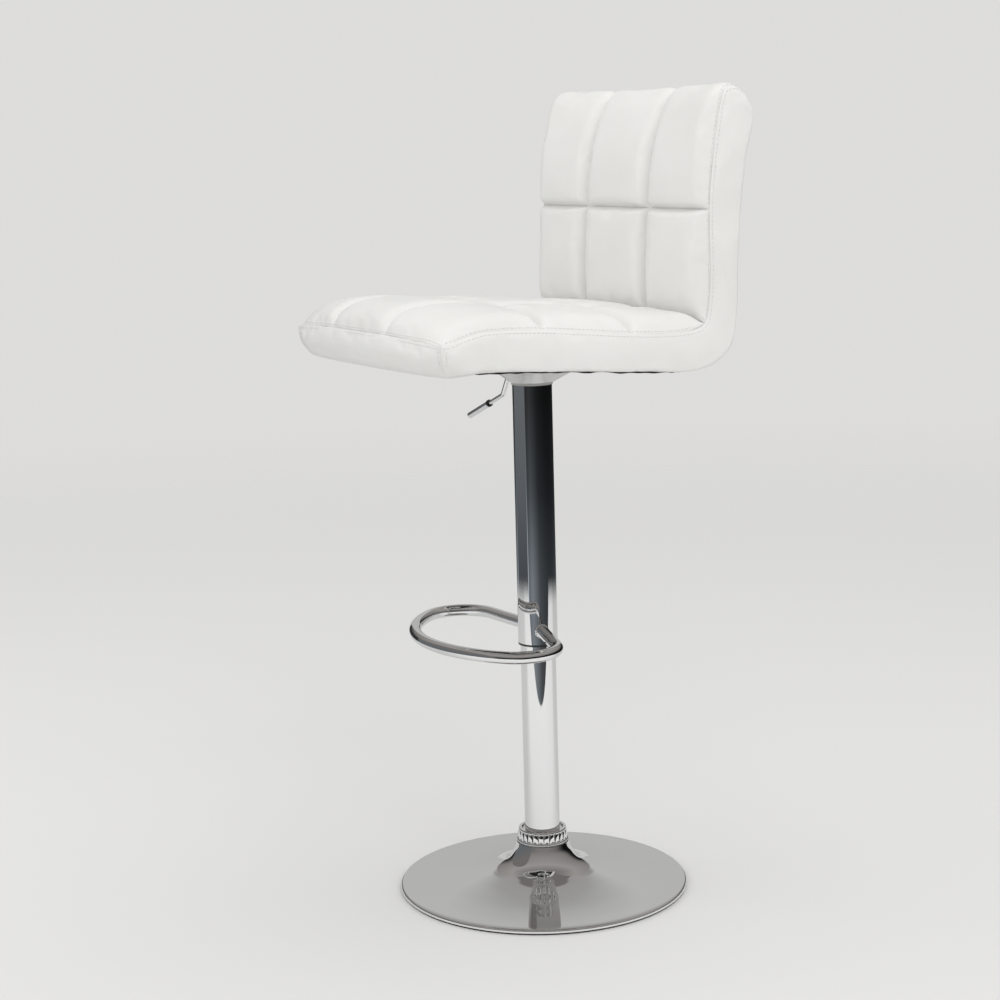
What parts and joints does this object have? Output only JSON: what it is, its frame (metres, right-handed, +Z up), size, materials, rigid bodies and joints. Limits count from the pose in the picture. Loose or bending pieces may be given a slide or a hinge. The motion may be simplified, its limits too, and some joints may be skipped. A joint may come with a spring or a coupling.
{
  "type": "adjustable swivel stool",
  "caption": "Height-adjustable swivel bar stool: quilted L-shaped seat and low back on a telescoping column with a looped footrest, release lever and round dished base.",
  "frame": {"origin": "on the floor at the column's axis, on the underside of the floor pad", "axes": "+Z up along the column, the seat's front edge towards -Y, the sitter's left at +X"},
  "size_m": [0.415, 0.4612, 1.0585],
  "materials": {
    "chrome": "polished",
    "steel": "satin",
    "zinc": "satin",
    "black_painted": "satin",
    "black_rubber": "matte",
    "black_plastic": "satin",
    "grey_plastic": "satin",
    "white_leather": "satin",
    "foam": "matte",
    "plywood": "matte",
    "dust_cloth": "matte"
  },
  "bodies": {
    "base": {"floor_pad": "black_rubber", "ballast_disc": "steel", "base_dish": "chrome", "hub_plate": "steel", "trim_collar": "chrome", "base_bolts": "zinc", "foot_flange": "steel", "column_tube": "chrome", "column_end_plate": "steel", "guide_bush": "black_plastic", "bearing_race_lower": "steel"},
    "bearing_cage": {"bearing_cage": "black_plastic", "bearing_balls": "steel"},
    "rod": {"bearing_race_upper": "steel", "piston_rod": "steel", "bump_stop": "black_rubber", "piston": "black_plastic", "piston_nut": "zinc", "retaining_washer": "zinc", "retaining_clip": "steel"},
    "seat": {"gas_cylinder": "black_painted", "cylinder_gland": "black_plastic", "sleeve_tube": "chrome", "sleeve_bush": "black_plastic", "sleeve_head_ring": "grey_plastic", "footrest_loop": "chrome", "seat_plate": "zinc", "taper_socket": "steel", "lever_bracket": "steel", "lever_pivot_pin": "steel", "seat_board": "plywood", "back_board": "plywood", "corner_bracket_left": "steel", "corner_bracket_right": "steel", "bracket_screws": "zinc", "seat_bolts": "zinc", "bolt_washers": "zinc", "tee_nuts": "zinc", "dust_cover": "dust_cloth", "seat_cushion": "foam", "back_cushion": "foam", "side_band_left": "white_leather", "side_band_right": "white_leather", "front_band": "white_leather", "rear_panel": "white_leather"},
    "lever": {"lever_rod": "chrome", "lever_grip": "chrome", "grip_ring": "black_plastic"},
    "valve_button": {"valve_button": "zinc"}
  },
  "joints": [
    {"name": "swivel", "type": "hinge", "parent": "base", "child": "rod", "pos_m": [0, 0, 0.041], "axis": [0, 0, 1], "continuous": true},
    {"name": "cage_roll", "type": "hinge", "parent": "base", "child": "bearing_cage", "pos_m": [0, 0, 0.039], "axis": [0, 0, 1], "continuous": true},
    {"name": "height", "type": "slide", "parent": "rod", "child": "seat", "axis": [0, 0, 1], "range_m": [-0.205, 0.0095]},
    {"name": "lever_lift", "type": "hinge", "parent": "seat", "child": "lever", "pos_m": [-0.03, 0, 0.7006], "axis": [0, 1, 0], "range_deg": [0, 6], "stiffness_Nm_per_rad": 0.4, "springref_deg": -2.86},
    {"name": "valve_press", "type": "slide", "parent": "seat", "child": "valve_button", "axis": [0, 0, -1], "range_m": [0, 0.0033], "stiffness_N_per_m": 400, "springref_m": -0.002}
  ],
  "couplings": [
    {"joint": "cage_roll", "follows": "swivel", "ratio": 0.5},
    {"joint": "valve_press", "follows": "lever_lift", "m_per_rad": 0.03}
  ]
}
